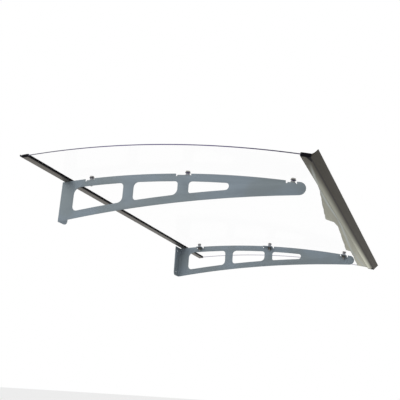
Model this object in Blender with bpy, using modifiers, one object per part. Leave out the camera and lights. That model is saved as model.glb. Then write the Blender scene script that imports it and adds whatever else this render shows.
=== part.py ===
"""Clear polycarbonate door canopy on two folded sheet-metal brackets.

A curved clear sheet is held at the wall by a channel rail with a wiper seal, and at the
front by a gutter rail. Two laser-cut brackets carry it, each by three screwed tabs.

Run with: blender --background --python part.py
Metres, +Z up. X runs along the wall and -Y points out from it. The origin is at
mid-width on the wall, at the middle of the wiper seal's contact face.
"""
import math

import bmesh
import bpy
from mathutils import Matrix, Vector

# Canopy
CANOPY_WIDTH = 1.500
CANOPY_DEPTH = 0.900
SEAT_GAP = 0.0003

# Clear sheet: an arc about a line along X, given at the middle of its thickness
SHEET_THICKNESS = 0.003
SHEET_RADIUS = 2.858
CREST_DISTANCE = 0.248
CREST_HEIGHT = 0.0065
SHEET_STEPS = 28
SHEET_HOLE_RADIUS = 0.005
EDGE_PLAY = 0.0003

# Channels that hold the sheet's two long edges
GASKET_THICKNESS = 0.0013
GASKET_LIP_THICKNESS = 0.0012
JAW_THICKNESS = 0.0012

# Wall rail and its wiper seal
RAIL_FROM_WALL = 0.0095
RAIL_DEPTH = 0.020
RAIL_WEB_THICKNESS = 0.0015
SEAL_POCKET_DEPTH = 0.003
SEAL_FACE_HEIGHT = 0.0057
SEAL_HEEL = 0.0012

# Gutter rail
GUTTER_JAW_DEPTH = 0.0263
GUTTER_WALL_THICKNESS = 0.0018
LIP_RUN = 0.0182
LIP_RISE = 0.0192
LIP_TIP_THICKNESS = 0.0014
TROUGH_SAG = 0.0014
TROUGH_STEPS = 8
END_CAP_THICKNESS = 0.0015
CAP_TONGUE_LENGTH = 0.033
CAP_TONGUE_WIDTH = 0.011
CAP_TONGUE_TIP_WIDTH = 0.002
CAP_TONGUE_THICKNESS = 0.0012

# Brackets: folded from one plate each
PLATE_THICKNESS = 0.003
BEND_INNER_RADIUS = 0.002
BEND_STEPS = 4
BRACKET_INSET = 0.235
BRACKET_SETBACK = 0.0785
WEB_HEIGHT_AT_WALL = 0.136
TIP_RADIUS = 0.0195
LOWER_EDGE_RADIUS = 4.0
EDGE_STEP = 0.035
TIP_STEPS = 12
FLANGE_WIDTH = 0.055
FLANGE_CORNER_RADIUS = 0.016
FLANGE_CORNER_STEPS = 6
WALL_HOLE_RADIUS = 0.0045
WALL_HOLE_FROM_WEB = 0.032
WALL_HOLE_FROM_END = 0.019

# Windows in the web; corner radii run rear top, front top, front low, rear low
TOP_RIM = 0.0245
LOW_RIM = 0.0250
FIRST_WINDOW_FROM_WALL = 0.050
FIRST_WINDOW_LENGTH = 0.183
STRUT_WIDTH = 0.036
SOLID_END_LENGTH = 0.232
FIRST_WINDOW_RADII = (0.026, 0.014, 0.019, 0.016)
MIDDLE_WINDOW_RADII = (0.017, 0.011, 0.019, 0.012)
LAST_WINDOW_RADII = (0.011, 0.011, 0.0115, 0.008)
CORNER_STEPS = 5
RIM_EDGE_POINTS = 3
CORNER_ROOM = 1.25

# Tabs folded in from the web's top edge
FIRST_SCREW_FROM_WALL = 0.105
MIDDLE_SCREW_BEFORE_LAST = 0.333
LAST_SCREW_FROM_TIP = 0.0405
END_TAB_WIDTH = 0.024
MIDDLE_TAB_WIDTH = 0.042
MIDDLE_TAB_OFFSET = 0.008
TAB_REACH = 0.025
TAB_DROP = 0.0028
NOTCH_WIDTH = 0.005
NOTCH_DEPTH = 0.008
SCREW_FROM_WEB_FACE = 0.0133
TAB_HOLE_RADIUS = 0.0045

# Screw, washers, spacer and lock nut of each fixing
SCREW_RADIUS = 0.004
SCREW_LENGTH = 0.030
HEX_ACROSS_FLATS = 0.013
HEAD_HEIGHT = 0.0042
HEAD_CHAMFER = 0.0009
SEALING_WASHER_RADIUS = 0.0088
SEALING_WASHER_THICKNESS = 0.0012
SPACER_RADIUS = 0.0072
SPACER_WAIST = 0.0006
TAB_WASHER_RADIUS = 0.008
TAB_WASHER_THICKNESS = 0.0014
WASHER_EASE = 0.0002
NUT_HEX_HEIGHT = 0.0055
NUT_COLLAR_HEIGHT = 0.0020
NUT_COLLAR_RADIUS = 0.0058
ROUND_STEPS = 20

# Tools: how far a cutter passes through, what counts as one point, and shading angles
CUTTER_THICKNESSES = 4
WELD_DISTANCE = 1e-6
SAME_POINT = 1e-5
CIRCULAR_PROFILE = 0.5
ROUND_SHADE_ANGLE = 35
SECTION_SHADE_ANGLE = 20

# Derived from the values above
SHEET_FACE = SHEET_THICKNESS / 2
GASKET_INNER = SHEET_FACE + SEAT_GAP
GASKET_OUTER = GASKET_INNER + GASKET_THICKNESS
SLOT_HALF = GASKET_OUTER + SEAT_GAP
JAW_FACE = SLOT_HALF + JAW_THICKNESS
WEB_DROP = JAW_FACE + SEAT_GAP
BEND_OUTER_RADIUS = PLATE_THICKNESS + BEND_INNER_RADIUS
BRACKET_FACE_X = CANOPY_WIDTH / 2 - BRACKET_INSET
BRACKET_LENGTH = CANOPY_DEPTH - BRACKET_SETBACK
LAST_SCREW = BRACKET_LENGTH - LAST_SCREW_FROM_TIP
MIDDLE_SCREW = LAST_SCREW - MIDDLE_SCREW_BEFORE_LAST
RAIL_FRONT = RAIL_FROM_WALL + RAIL_DEPTH
RAIL_SLOT_END = RAIL_FROM_WALL + SEAL_POCKET_DEPTH + RAIL_WEB_THICKNESS
SHEET_REAR = RAIL_SLOT_END + SEAT_GAP + GASKET_THICKNESS + EDGE_PLAY
GUTTER_FOLD = CANOPY_DEPTH - LIP_RUN
GUTTER_JAW_EDGE = GUTTER_FOLD - GUTTER_JAW_DEPTH
GUTTER_SLOT_END = GUTTER_FOLD - GUTTER_WALL_THICKNESS
SHEET_FRONT = GUTTER_SLOT_END - SEAT_GAP - GASKET_THICKNESS - EDGE_PLAY
SHEET_WIDTH = CANOPY_WIDTH - 2 * (END_CAP_THICKNESS + SEAT_GAP)
TAB_TOP = -(WEB_DROP + TAB_DROP)
HEX_CORNER_RADIUS = HEX_ACROSS_FLATS / 2 / math.cos(math.pi / 6)

# Each tab: its screw's distance from the wall, its width, and how far its middle lies
# nearer the wall than the screw
TABS = (
    (FIRST_SCREW_FROM_WALL, END_TAB_WIDTH, 0.0),
    (MIDDLE_SCREW, MIDDLE_TAB_WIDTH, MIDDLE_TAB_OFFSET),
    (LAST_SCREW, END_TAB_WIDTH, 0.0),
)

# Each window: distances of its rear and front sides from the wall, then its corner radii.
# The second strut stands under the middle tab.
FIRST_WINDOW_END = FIRST_WINDOW_FROM_WALL + FIRST_WINDOW_LENGTH
SECOND_STRUT = MIDDLE_SCREW - MIDDLE_TAB_OFFSET
WINDOWS = (
    (FIRST_WINDOW_FROM_WALL, FIRST_WINDOW_END, FIRST_WINDOW_RADII),
    (FIRST_WINDOW_END + STRUT_WIDTH, SECOND_STRUT - STRUT_WIDTH / 2, MIDDLE_WINDOW_RADII),
    (SECOND_STRUT + STRUT_WIDTH / 2, BRACKET_LENGTH - SOLID_END_LENGTH, LAST_WINDOW_RADII),
)
BORE_RADIUS = SCREW_RADIUS + SEAT_GAP

PARTS = "door_canopy"
CUTTERS = "door_canopy_cutters"
SIDES = (("left", -1), ("right", 1))


def clear_scene():
    """Remove every object, then make the two collections."""
    for obj in list(bpy.data.objects):
        bpy.data.objects.remove(obj)
    for name in (PARTS, CUTTERS):
        bpy.context.scene.collection.children.link(bpy.data.collections.new(name))


def make_material(name, colour, roughness, metallic=0.0, alpha=1.0):
    """Principled BSDF material with a plain colour."""
    material = bpy.data.materials.new(name)
    material.use_nodes = True
    shader = material.node_tree.nodes["Principled BSDF"]
    shader.inputs["Base Color"].default_value = (*colour, 1.0)
    shader.inputs["Roughness"].default_value = roughness
    shader.inputs["Metallic"].default_value = metallic
    shader.inputs["Alpha"].default_value = alpha
    material.diffuse_color = (*colour, alpha)
    return material


def make_materials():
    """One material for each kind of surface on the canopy."""
    return {
        "polycarbonate": make_material("clear_polycarbonate", (0.86, 0.87, 0.93), 0.05, alpha=0.3),
        "bracket": make_material("satin_steel_plate", (0.22, 0.25, 0.28), 0.45, 0.6),
        "rail": make_material("mill_aluminium", (0.19, 0.175, 0.155), 0.40, 0.8),
        "rubber": make_material("black_rubber", (0.012, 0.012, 0.014), 0.75),
        "spacer": make_material("pale_rubber", (0.70, 0.71, 0.72), 0.55),
        "cap": make_material("black_plastic", (0.010, 0.010, 0.011), 0.5),
        "steel": make_material("dark_steel", (0.10, 0.10, 0.095), 0.35, 0.9),
    }


def link(obj, material=None, collection=PARTS):
    """Put an object in its collection and give it its material."""
    bpy.data.collections[collection].objects.link(obj)
    if material is not None:
        obj.data.materials.clear()
        obj.data.materials.append(material)
    return obj


def baked(obj):
    """Welded mesh of an object as its modifiers leave it; the object itself is removed."""
    bpy.context.view_layer.update()
    depsgraph = bpy.context.evaluated_depsgraph_get()
    mesh = bpy.data.meshes.new_from_object(obj.evaluated_get(depsgraph), depsgraph=depsgraph)
    mesh.transform(obj.matrix_world)
    bm = bmesh.new()
    bm.from_mesh(mesh)
    bmesh.ops.remove_doubles(bm, verts=bm.verts, dist=WELD_DISTANCE)
    bmesh.ops.recalc_face_normals(bm, faces=bm.faces)
    bm.to_mesh(mesh)
    bm.free()
    bpy.data.objects.remove(obj)
    return mesh


def smooth(mesh, angle=ROUND_SHADE_ANGLE):
    """Shade round faces smooth and keep the hard edges sharp."""
    mesh.shade_smooth()
    mesh.set_sharp_from_angle(angle=math.radians(angle))
    return mesh


def arc_height(distance, offset=0.0):
    """Height of the sheet's middle at a distance from the wall, or of an arc offset from it."""
    run = distance - CREST_DISTANCE
    return CREST_HEIGHT - SHEET_RADIUS + math.sqrt((SHEET_RADIUS + offset) ** 2 - run ** 2)


def arc_tilt(distance):
    """Angle by which the sheet falls towards the front at a distance from the wall."""
    return math.asin((distance - CREST_DISTANCE) / SHEET_RADIUS)


def on_arc(distance, offset=0.0):
    """Section point (distance from the wall, height), offset square to the sheet's middle."""
    tilt = arc_tilt(distance)
    return (
        distance + offset * math.sin(tilt),
        arc_height(distance) + offset * math.cos(tilt),
    )


def outline_curve(name, outlines, extrude=0.0):
    """Filled flat curve from closed outlines; an outline inside another is a hole."""
    curve = bpy.data.curves.new(name, "CURVE")
    curve.dimensions = "2D"
    curve.fill_mode = "BOTH"
    curve.extrude = extrude
    for outline in outlines:
        spline = curve.splines.new("POLY")
        spline.points.add(len(outline) - 1)
        for point, (u, v) in zip(spline.points, outline):
            point.co = (u, v, 0.0, 1.0)
        spline.use_cyclic_u = True
    obj = bpy.data.objects.new(name, curve)
    bpy.data.collections[PARTS].objects.link(obj)
    return obj


def section_frame():
    """Matrix that stands a flat outline up: u points out from the wall and v points up."""
    return Matrix(((0, 0, -1, 0), (-1, 0, 0, 0), (0, 1, 0, 0), (0, 0, 0, 1)))


def extrusion(name, outline, length, material, centre_x=0.0):
    """Straight profile along X from its section outline."""
    obj = outline_curve(name + "_section", [outline], extrude=length / 2)
    obj.matrix_world = section_frame()
    mesh = baked(obj)
    mesh.name = name
    part = link(bpy.data.objects.new(name, smooth(mesh, SECTION_SHADE_ANGLE)), material)
    part.location.x = centre_x
    return part


def rounded(corners, steps=CORNER_STEPS):
    """Outline through corners given as (u, v, radius), with an arc at each radius."""
    points = []
    count = len(corners)
    for index, (u, v, radius) in enumerate(corners):
        corner = Vector((u, v))
        if radius == 0.0:
            points.append((u, v))
            continue
        before = (Vector(corners[index - 1][:2]) - corner).normalized()
        after = (Vector(corners[(index + 1) % count][:2]) - corner).normalized()
        half_angle = before.angle(after) / 2
        centre = corner + (before + after).normalized() * radius / math.sin(half_angle)
        reach = radius / math.tan(half_angle)
        start = corner + before * reach - centre
        turn = start.angle_signed(corner + after * reach - centre)
        for step in range(steps + 1):
            spoke = Matrix.Rotation(-turn * step / steps, 2) @ start
            points.append(tuple(centre + spoke))
    return points


def rear_rail(materials):
    """Wall rail: a slot for the sheet and a shallow pocket behind it for the wiper seal."""
    outline = [
        on_arc(RAIL_FRONT, -JAW_FACE),
        on_arc(RAIL_FROM_WALL, -JAW_FACE),
        on_arc(RAIL_FROM_WALL, -SLOT_HALF),
        on_arc(RAIL_FROM_WALL + SEAL_POCKET_DEPTH, -SLOT_HALF),
        on_arc(RAIL_FROM_WALL + SEAL_POCKET_DEPTH, SLOT_HALF),
        on_arc(RAIL_FROM_WALL, SLOT_HALF),
        on_arc(RAIL_FROM_WALL, JAW_FACE),
        on_arc(RAIL_FRONT, JAW_FACE),
        on_arc(RAIL_FRONT, SLOT_HALF),
        on_arc(RAIL_SLOT_END, SLOT_HALF),
        on_arc(RAIL_SLOT_END, -SLOT_HALF),
        on_arc(RAIL_FRONT, -SLOT_HALF),
    ]
    extrusion("rear_rail", outline, SHEET_WIDTH, materials["rail"])


def rear_wall_seal(materials):
    """Wiper seal: its root sits in the rail's pocket and its lip lies flat on the wall."""
    root_half = SLOT_HALF - SEAT_GAP
    root_end = RAIL_FROM_WALL + SEAL_POCKET_DEPTH - SEAT_GAP
    neck = RAIL_FROM_WALL - SEAT_GAP
    outline = [
        on_arc(root_end, -root_half),
        on_arc(neck, -root_half),
        on_arc(neck, -SEAL_HEEL),
        (0.0, -SEAL_FACE_HEIGHT / 2),
        (0.0, SEAL_FACE_HEIGHT / 2),
        on_arc(neck, root_half),
        on_arc(root_end, root_half),
    ]
    extrusion("rear_wall_seal", outline, SHEET_WIDTH, materials["rubber"])


def gasket(name, slot_end, jaw_edge, length, materials):
    """U-shaped gasket round one long edge of the sheet, with a bead before each jaw."""
    outward = 1 if jaw_edge > slot_end else -1
    back = slot_end + outward * SEAT_GAP
    web_face = back + outward * GASKET_THICKNESS
    bead_back = jaw_edge + outward * SEAT_GAP
    bead_face = bead_back + outward * GASKET_LIP_THICKNESS
    lower_half = [
        on_arc(back, -GASKET_OUTER),
        on_arc(bead_back, -GASKET_OUTER),
        on_arc(bead_back, -JAW_FACE),
        on_arc(bead_face, -JAW_FACE),
        on_arc(bead_face, -GASKET_INNER),
        on_arc(web_face, -GASKET_INNER),
    ]
    upper_half = [
        on_arc(web_face, GASKET_INNER),
        on_arc(bead_face, GASKET_INNER),
        on_arc(bead_face, JAW_FACE),
        on_arc(bead_back, JAW_FACE),
        on_arc(bead_back, GASKET_OUTER),
        on_arc(back, GASKET_OUTER),
    ]
    extrusion(name, lower_half + upper_half, length, materials["rubber"])


def gutter_rail(materials):
    """Front rail: a slot for the sheet, and a lip that rises from its fold as a gutter."""
    fold = on_arc(GUTTER_FOLD, -JAW_FACE)
    tip = (CANOPY_DEPTH, fold[1] + LIP_RISE)
    tip_inner = (CANOPY_DEPTH - LIP_TIP_THICKNESS, tip[1] + LIP_TIP_THICKNESS / 2)
    trough_end = on_arc(GUTTER_FOLD, JAW_FACE)
    slope = math.atan2(tip_inner[1] - trough_end[1], tip_inner[0] - trough_end[0])
    trough = []
    for step in range(TROUGH_STEPS + 1):
        share = step / TROUGH_STEPS
        sag = TROUGH_SAG * 4 * share * (1 - share)
        trough.append((
            tip_inner[0] + (trough_end[0] - tip_inner[0]) * share + sag * math.sin(slope),
            tip_inner[1] + (trough_end[1] - tip_inner[1]) * share - sag * math.cos(slope),
        ))
    slot = [
        on_arc(GUTTER_JAW_EDGE, JAW_FACE),
        on_arc(GUTTER_JAW_EDGE, SLOT_HALF),
        on_arc(GUTTER_SLOT_END, SLOT_HALF),
        on_arc(GUTTER_SLOT_END, -SLOT_HALF),
        on_arc(GUTTER_JAW_EDGE, -SLOT_HALF),
        on_arc(GUTTER_JAW_EDGE, -JAW_FACE),
    ]
    extrusion("front_gutter_rail", [fold, tip] + trough + slot, SHEET_WIDTH, materials["rail"])


def rear_end_caps(materials):
    """Flat caps that close the wall rail's two ends."""
    front = RAIL_FRONT + SEAT_GAP + GASKET_LIP_THICKNESS
    plate = [
        on_arc(RAIL_FROM_WALL, -JAW_FACE),
        on_arc(front, -JAW_FACE),
        on_arc(front, JAW_FACE),
        on_arc(RAIL_FROM_WALL, JAW_FACE),
    ]
    middle = (CANOPY_WIDTH - END_CAP_THICKNESS) / 2
    for side, sign in SIDES:
        name = "rear_end_cap_" + side
        extrusion(name, plate, END_CAP_THICKNESS, materials["cap"], sign * middle)


def gutter_end_caps(materials):
    """Caps on the gutter rail's two ends, each with a tapered tongue under the lower jaw."""
    plate = [
        on_arc(GUTTER_JAW_EDGE, -JAW_FACE - SEAT_GAP - CAP_TONGUE_THICKNESS),
        on_arc(GUTTER_FOLD, -JAW_FACE - SEAT_GAP - CAP_TONGUE_THICKNESS),
        on_arc(GUTTER_FOLD, JAW_FACE),
        on_arc(GUTTER_JAW_EDGE, JAW_FACE),
    ]
    end = CANOPY_WIDTH / 2
    tongue_front = GUTTER_FOLD - CAP_TONGUE_TIP_WIDTH
    tongue_middle = on_arc(
        tongue_front - CAP_TONGUE_WIDTH / 2,
        -JAW_FACE - SEAT_GAP - CAP_TONGUE_THICKNESS / 2,
    )
    for side, sign in SIDES:
        name = "gutter_end_cap_" + side
        cap = extrusion(
            name, plate, END_CAP_THICKNESS, materials["cap"], sign * (end - END_CAP_THICKNESS / 2)
        )
        root = -sign * END_CAP_THICKNESS
        tip = -sign * CAP_TONGUE_LENGTH
        half = CAP_TONGUE_WIDTH / 2
        outline = [
            (root / 2, half),
            (root / 2, -half),
            (tip, half - CAP_TONGUE_TIP_WIDTH),
            (tip, half),
        ]
        tongue = outline_curve(name + "_tongue", [outline], extrude=CAP_TONGUE_THICKNESS / 2)
        tongue.matrix_world = (
            Matrix.Translation((sign * end, -tongue_middle[0], tongue_middle[1]))
            @ Matrix.Rotation(arc_tilt(tongue_middle[0]), 4, "X")
            @ Matrix.Scale(-1, 4, (0, 1, 0))
        )
        mesh = baked(tongue)
        cutter(name + "_tongue", mesh)
        boolean(cap, name + "_tongue", "UNION")


def cutter(name, mesh):
    """Guide object that a Boolean reads, left out of the model itself."""
    obj = link(bpy.data.objects.new(name, mesh), collection=CUTTERS)
    obj.hide_render = True
    obj.display_type = "WIRE"
    return obj


def boolean(obj, cutter_name, operation):
    """Boolean modifier with the exact solver."""
    modifier = obj.modifiers.new(cutter_name, "BOOLEAN")
    modifier.operation = operation
    modifier.solver = "EXACT"
    modifier.object = bpy.data.objects[cutter_name]


def round_cutter(name, radius, length, matrix):
    """Cylinder along its own Z, placed by a matrix."""
    bm = bmesh.new()
    bmesh.ops.create_cone(
        bm,
        cap_ends=True,
        segments=ROUND_STEPS,
        radius1=radius,
        radius2=radius,
        depth=length,
    )
    mesh = bpy.data.meshes.new(name)
    bm.to_mesh(mesh)
    bm.free()
    obj = cutter(name, mesh)
    obj.matrix_world = matrix
    return obj


def fixing_frame(sign, distance):
    """Frame of a fixing: on the sheet's middle at its screw, Z along the sheet's normal."""
    x = sign * (BRACKET_FACE_X - SCREW_FROM_WEB_FACE)
    place = Matrix.Translation((x, -distance, arc_height(distance)))
    return place @ Matrix.Rotation(arc_tilt(distance), 4, "X")


def clear_sheet(materials):
    """Curved sheet with a clearance hole at each fixing."""
    bm = bmesh.new()
    half = SHEET_WIDTH / 2
    row = []
    for step in range(SHEET_STEPS + 1):
        distance = SHEET_REAR + (SHEET_FRONT - SHEET_REAR) * step / SHEET_STEPS
        row.append(bm.verts.new((-half, -distance, arc_height(distance))))
    edges = [bm.edges.new(pair) for pair in zip(row, row[1:])]
    swept = bmesh.ops.extrude_edge_only(bm, edges=edges)["geom"]
    moved = [item for item in swept if isinstance(item, bmesh.types.BMVert)]
    bmesh.ops.translate(bm, verts=moved, vec=(SHEET_WIDTH, 0, 0))
    bmesh.ops.recalc_face_normals(bm, faces=bm.faces)
    mesh = bpy.data.meshes.new("clear_sheet")
    bm.to_mesh(mesh)
    bm.free()
    sheet = link(bpy.data.objects.new("clear_sheet", mesh), materials["polycarbonate"])
    thickness = sheet.modifiers.new("thickness", "SOLIDIFY")
    thickness.thickness = SHEET_THICKNESS
    thickness.offset = 0.0
    thickness.use_even_offset = True
    for side, sign in SIDES:
        for number, (distance, _, _) in enumerate(TABS, 1):
            name = f"sheet_hole_{side}_{number}"
            frame = fixing_frame(sign, distance)
            round_cutter(name, SHEET_HOLE_RADIUS, CUTTER_THICKNESSES * SHEET_THICKNESS, frame)
            boolean(sheet, name, "DIFFERENCE")


def web_top(distance):
    """Height of the web's top edge, just under the rails and the sheet."""
    return arc_height(distance, -WEB_DROP)


def web_low(distance):
    """Height of the web's lower edge: a long arc from the web's foot to its rounded tip."""
    tip = BRACKET_LENGTH - TIP_RADIUS
    foot_point = Vector((0.0, web_top(0.0) - WEB_HEIGHT_AT_WALL))
    tip_point = Vector((tip, web_top(tip) - 2 * TIP_RADIUS))
    chord = tip_point - foot_point
    sink = math.sqrt(LOWER_EDGE_RADIUS ** 2 - chord.length_squared / 4)
    across = Vector((chord.y, -chord.x)).normalized()
    centre = (foot_point + tip_point) / 2 + across * sink
    return centre.y + math.sqrt(LOWER_EDGE_RADIUS ** 2 - (distance - centre.x) ** 2)


def tab_point(tab, along, offset):
    """Point in a tab's own frame: along the sheet from its screw, and off the sheet's middle."""
    tilt = arc_tilt(tab[0])
    distance, height = on_arc(tab[0])
    return (
        distance + along * math.cos(tilt) + offset * math.sin(tilt),
        height - along * math.sin(tilt) + offset * math.cos(tilt),
    )


def tab_root(tab):
    """Two ends of the line on the web from which a tab is folded."""
    offset = TAB_TOP - BEND_OUTER_RADIUS
    rear = -tab[1] / 2 - tab[2]
    front = tab[1] / 2 - tab[2]
    return tab_point(tab, rear, offset), tab_point(tab, front, offset)


def tab_notches(tab):
    """Outline across a tab: a relief notch, the fold line and a second notch."""
    floor = -WEB_DROP - NOTCH_DEPTH
    rear = -tab[1] / 2 - tab[2]
    front = tab[1] / 2 - tab[2]
    rear_side = tab_point(tab, rear - NOTCH_WIDTH, floor)
    front_side = tab_point(tab, front + NOTCH_WIDTH, floor)
    rear_root, front_root = tab_root(tab)
    return [
        (rear_side[0], web_top(rear_side[0])),
        rear_side,
        tab_point(tab, rear, floor),
        rear_root,
        front_root,
        tab_point(tab, front, floor),
        front_side,
        (front_side[0], web_top(front_side[0])),
    ]


def edge_run(height, start, end):
    """Points along a web edge between two distances, ends left out."""
    count = max(1, round(abs(end - start) / EDGE_STEP))
    places = [start + (end - start) * step / count for step in range(1, count)]
    return [(place, height(place)) for place in places]


def tip_outline():
    """Rounded tip of the web, from its top edge to its lower edge."""
    centre_at = BRACKET_LENGTH - TIP_RADIUS
    centre_height = web_top(centre_at) - TIP_RADIUS
    start = math.pi / 2 - arc_tilt(centre_at)
    end = -math.pi / 2
    angles = [start + (end - start) * step / TIP_STEPS for step in range(TIP_STEPS + 1)]
    return [
        (centre_at + TIP_RADIUS * math.cos(angle), centre_height + TIP_RADIUS * math.sin(angle))
        for angle in angles
    ]


def web_outline():
    """Outer outline of the web, from the wall fold out along the top and back below."""
    outline = [(BEND_OUTER_RADIUS, web_top(BEND_OUTER_RADIUS))]
    for tab in TABS:
        across = tab_notches(tab)
        outline += edge_run(web_top, outline[-1][0], across[0][0])
        outline += across
    tip = tip_outline()
    outline += edge_run(web_top, outline[-1][0], tip[0][0])
    outline += tip
    outline += edge_run(web_low, tip[-1][0], BEND_OUTER_RADIUS)
    outline.append((BEND_OUTER_RADIUS, web_low(BEND_OUTER_RADIUS)))
    return outline


def window_outline(rear, front, radii):
    """One window: upright sides, with rims of even width along the web's two edges."""

    def top(place):
        return arc_height(place, -WEB_DROP - TOP_RIM)

    def low(place):
        return web_low(place) + LOW_RIM

    def between(height, rear_radius, front_radius):
        start = rear + CORNER_ROOM * rear_radius
        end = front - CORNER_ROOM * front_radius
        step = (end - start) / (RIM_EDGE_POINTS - 1)
        places = [start + step * index for index in range(RIM_EDGE_POINTS)]
        return [(place, height(place), 0.0) for place in places]

    corners = [(rear, top(rear), radii[0])]
    corners += between(top, radii[0], radii[1])
    corners += [(front, top(front), radii[1]), (front, low(front), radii[2])]
    corners += reversed(between(low, radii[3], radii[2]))
    corners += [(rear, low(rear), radii[3])]
    return rounded(corners)


def edge_between(bm, ends):
    """Mesh edge that joins two points of the flat web."""
    targets = [Vector((0.0, -distance, height)) for distance, height in ends]
    for edge in bm.edges:
        places = [vert.co for vert in edge.verts]
        for first, second in (targets, reversed(targets)):
            apart = max((places[0] - first).length, (places[1] - second).length)
            if apart < SAME_POINT:
                return edge
    raise ValueError("fold line is not an edge of the web")


def fold(bm, edge, axis, centre, reach):
    """Fold the plate at an edge: a quarter bend, then a flat leaf out to its reach."""
    bent = bmesh.ops.spin(
        bm,
        geom=[edge, *edge.verts],
        cent=centre,
        axis=axis,
        angle=math.pi / 2,
        steps=BEND_STEPS,
    )["geom_last"]
    last_edge = next(item for item in bent if isinstance(item, bmesh.types.BMEdge))
    leaf = bmesh.ops.extrude_edge_only(bm, edges=[last_edge])["geom"]
    outer = [item for item in leaf if isinstance(item, bmesh.types.BMVert)]
    bmesh.ops.translate(bm, verts=outer, vec=(reach - BEND_OUTER_RADIUS, 0, 0))
    return outer


def folded_plate(name):
    """Outer skin of a bracket: the web with its windows, the wall flange and the tabs."""
    windows = [window_outline(*window) for window in WINDOWS]
    flat = outline_curve(name + "_flat", [web_outline()] + windows)
    mesh = baked(flat)
    bm = bmesh.new()
    bm.from_mesh(mesh)
    for vert in bm.verts:
        vert.co = Vector((0.0, -vert.co.x, vert.co.y))
    bpy.data.meshes.remove(mesh)

    wall_line = (
        (BEND_OUTER_RADIUS, web_top(BEND_OUTER_RADIUS)),
        (BEND_OUTER_RADIUS, web_low(BEND_OUTER_RADIUS)),
    )
    bend_centre = Vector((BEND_OUTER_RADIUS, -BEND_OUTER_RADIUS, 0.0))
    edge = edge_between(bm, wall_line)
    flange_end = fold(bm, edge, (0, 0, -1), bend_centre, FLANGE_WIDTH)
    bmesh.ops.bevel(
        bm,
        geom=[min(flange_end, key=lambda vert: vert.co.z)],
        offset=FLANGE_CORNER_RADIUS,
        segments=FLANGE_CORNER_STEPS,
        profile=CIRCULAR_PROFILE,
        affect="VERTICES",
    )
    for tab in TABS:
        root = tab_root(tab)
        tilt = arc_tilt(tab[0])
        axis = Vector((0.0, math.cos(tilt), math.sin(tilt)))
        centre = Vector((BEND_OUTER_RADIUS, -root[0][0], root[0][1]))
        fold(bm, edge_between(bm, root), axis, centre, TAB_REACH)

    bmesh.ops.recalc_face_normals(bm, faces=bm.faces)
    web_face = min(bm.faces, key=lambda face: face.calc_center_median().x)
    if web_face.normal.x > 0:
        bmesh.ops.reverse_faces(bm, faces=bm.faces)
    return bm


def bracket(side, sign, materials):
    """Bracket folded from one plate; the right one is the left one mirrored."""
    name = "bracket_" + side
    bm = folded_plate(name)
    if sign > 0:
        bmesh.ops.scale(bm, vec=(-1, 1, 1), verts=bm.verts)
        bmesh.ops.reverse_faces(bm, faces=bm.faces)
    mesh = bpy.data.meshes.new(name)
    bm.to_mesh(mesh)
    bm.free()
    plate = link(bpy.data.objects.new(name, mesh), materials["bracket"])
    plate.location.x = sign * BRACKET_FACE_X
    thickness = plate.modifiers.new("plate", "SOLIDIFY")
    thickness.thickness = PLATE_THICKNESS
    thickness.offset = -1.0
    thickness.use_even_offset = True
    thickness.use_quality_normals = True

    for number, (distance, _, _) in enumerate(TABS, 1):
        hole = f"tab_hole_{side}_{number}"
        frame = fixing_frame(sign, distance) @ Matrix.Translation((0, 0, TAB_TOP))
        round_cutter(hole, TAB_HOLE_RADIUS, CUTTER_THICKNESSES * PLATE_THICKNESS, frame)
        boolean(plate, hole, "DIFFERENCE")

    hole_x = sign * (BRACKET_FACE_X - WALL_HOLE_FROM_WEB)
    lowest = web_low(BEND_OUTER_RADIUS) + WALL_HOLE_FROM_END
    highest = web_top(BEND_OUTER_RADIUS) - WALL_HOLE_FROM_END
    for place, height in (("low", lowest), ("high", highest)):
        hole = f"wall_hole_{side}_{place}"
        frame = Matrix.Translation((hole_x, 0, height)) @ Matrix.Rotation(math.pi / 2, 4, "X")
        round_cutter(hole, WALL_HOLE_RADIUS, CUTTER_THICKNESSES * PLATE_THICKNESS, frame)
        boolean(plate, hole, "DIFFERENCE")


def turned(name, profile, closed):
    """Object turned from (radius, height) points that run down the outer side."""
    bm = bmesh.new()
    verts = [bm.verts.new((radius, 0.0, height)) for radius, height in profile]
    pairs = list(zip(verts, verts[1:]))
    if closed:
        pairs.append((verts[-1], verts[0]))
    for pair in pairs:
        bm.edges.new(pair)
    mesh = bpy.data.meshes.new(name)
    bm.to_mesh(mesh)
    bm.free()
    obj = bpy.data.objects.new(name, mesh)
    bpy.data.collections[PARTS].objects.link(obj)
    screw = obj.modifiers.new("turn", "SCREW")
    screw.steps = ROUND_STEPS
    screw.render_steps = ROUND_STEPS
    screw.use_merge_vertices = True
    screw.merge_threshold = SAME_POINT
    return obj


def ring_mesh(name, inner, outer, top, bottom, waist=0.0):
    """Washer or spacer with eased edges; a waist draws its outer side in at mid-height."""
    middle = (top + bottom) / 2
    profile = [
        (inner, top),
        (outer - WASHER_EASE, top),
        (outer, top - WASHER_EASE),
        (outer - waist, middle),
        (outer, bottom + WASHER_EASE),
        (outer - WASHER_EASE, bottom),
        (inner, bottom),
    ]
    return smooth(baked(turned(name, profile, closed=True)))


def hexagonal(blank, top, bottom):
    """Mesh of a turned blank cut to a hexagon across its widest part."""
    bm = bmesh.new()
    bmesh.ops.create_cone(
        bm,
        cap_ends=True,
        segments=6,
        radius1=HEX_CORNER_RADIUS,
        radius2=HEX_CORNER_RADIUS,
        depth=(top - bottom) * 2,
    )
    bmesh.ops.translate(bm, verts=bm.verts, vec=(0, 0, (top + bottom) / 2))
    mesh = bpy.data.meshes.new("hexagon")
    bm.to_mesh(mesh)
    bm.free()
    prism = cutter("hexagon", mesh)
    boolean(blank, "hexagon", "INTERSECT")
    result = baked(blank)
    bpy.data.objects.remove(prism)
    return smooth(result)


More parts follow.
